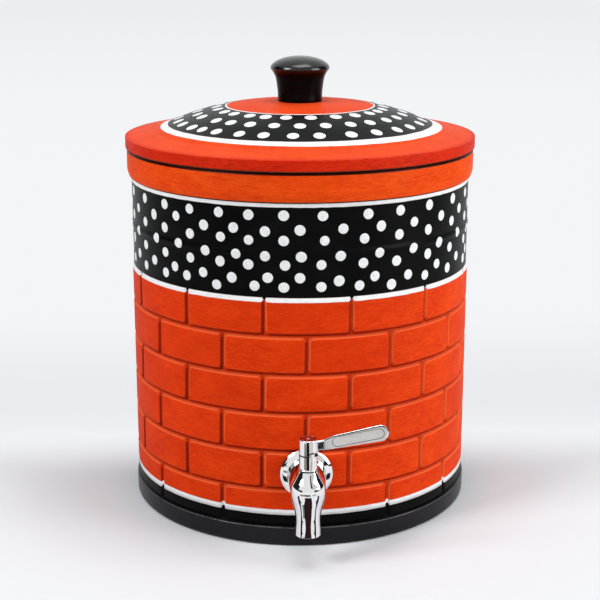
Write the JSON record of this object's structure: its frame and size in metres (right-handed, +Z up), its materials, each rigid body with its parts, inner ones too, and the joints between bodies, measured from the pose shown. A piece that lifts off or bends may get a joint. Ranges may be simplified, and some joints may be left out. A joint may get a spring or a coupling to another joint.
{
  "type": "terracotta water jar",
  "caption": "Straight-sided terracotta water jar with carved brick relief, beaded band, domed lift-off lid with turned knob, and a chromed quarter-turn tap near the foot.",
  "frame": {"origin": "centre of the flat foot, on the surface that the jar stands on", "axes": "+Z up along the jar's axis, -Y towards the tap, +X to the side where the shut lever points"},
  "size_m": [0.2766, 0.3201, 0.3546],
  "materials": {
    "terracotta": "painted, matte",
    "black_lacquer": "glossy lacquer",
    "chrome_plate": "mirror",
    "raw_brass": "machined",
    "stainless": "satin",
    "zinc_steel": "zinc plated",
    "black_rubber": "moulded",
    "white_silicone": "moulded",
    "white_nylon": "satin",
    "red_cap": "gloss"
  },
  "bodies": {
    "jar": {"jar_body": "terracotta", "outer_gasket": "black_rubber", "inner_gasket": "white_silicone", "inner_washer": "stainless", "shank_nut": "raw_brass", "tap_escutcheon": "chrome_plate", "tap_body": "chrome_plate", "seat_seal": "white_silicone"},
    "lid": {"lid": "terracotta", "lid_knob": "black_lacquer", "knob_rubber_washer": "black_rubber", "knob_washer": "zinc_steel", "knob_screw": "zinc_steel"},
    "tap_handle": {"lever_handle": "chrome_plate", "valve_stem": "raw_brass", "stem_o_ring_lower": "black_rubber", "stem_o_ring_upper": "black_rubber", "thrust_washer": "white_nylon", "lever_screw": "stainless", "index_cap": "red_cap"}
  },
  "joints": [
    {"name": "lid_lift", "type": "slide", "parent": "jar", "child": "lid", "axis": [0, 0, 1], "range_m": [0, 0.15]},
    {"name": "lever_turn", "type": "hinge", "parent": "jar", "child": "tap_handle", "pos_m": [0, -0.16875, 0.087], "axis": [0, 0, -1], "range_deg": [0, 90]}
  ]
}
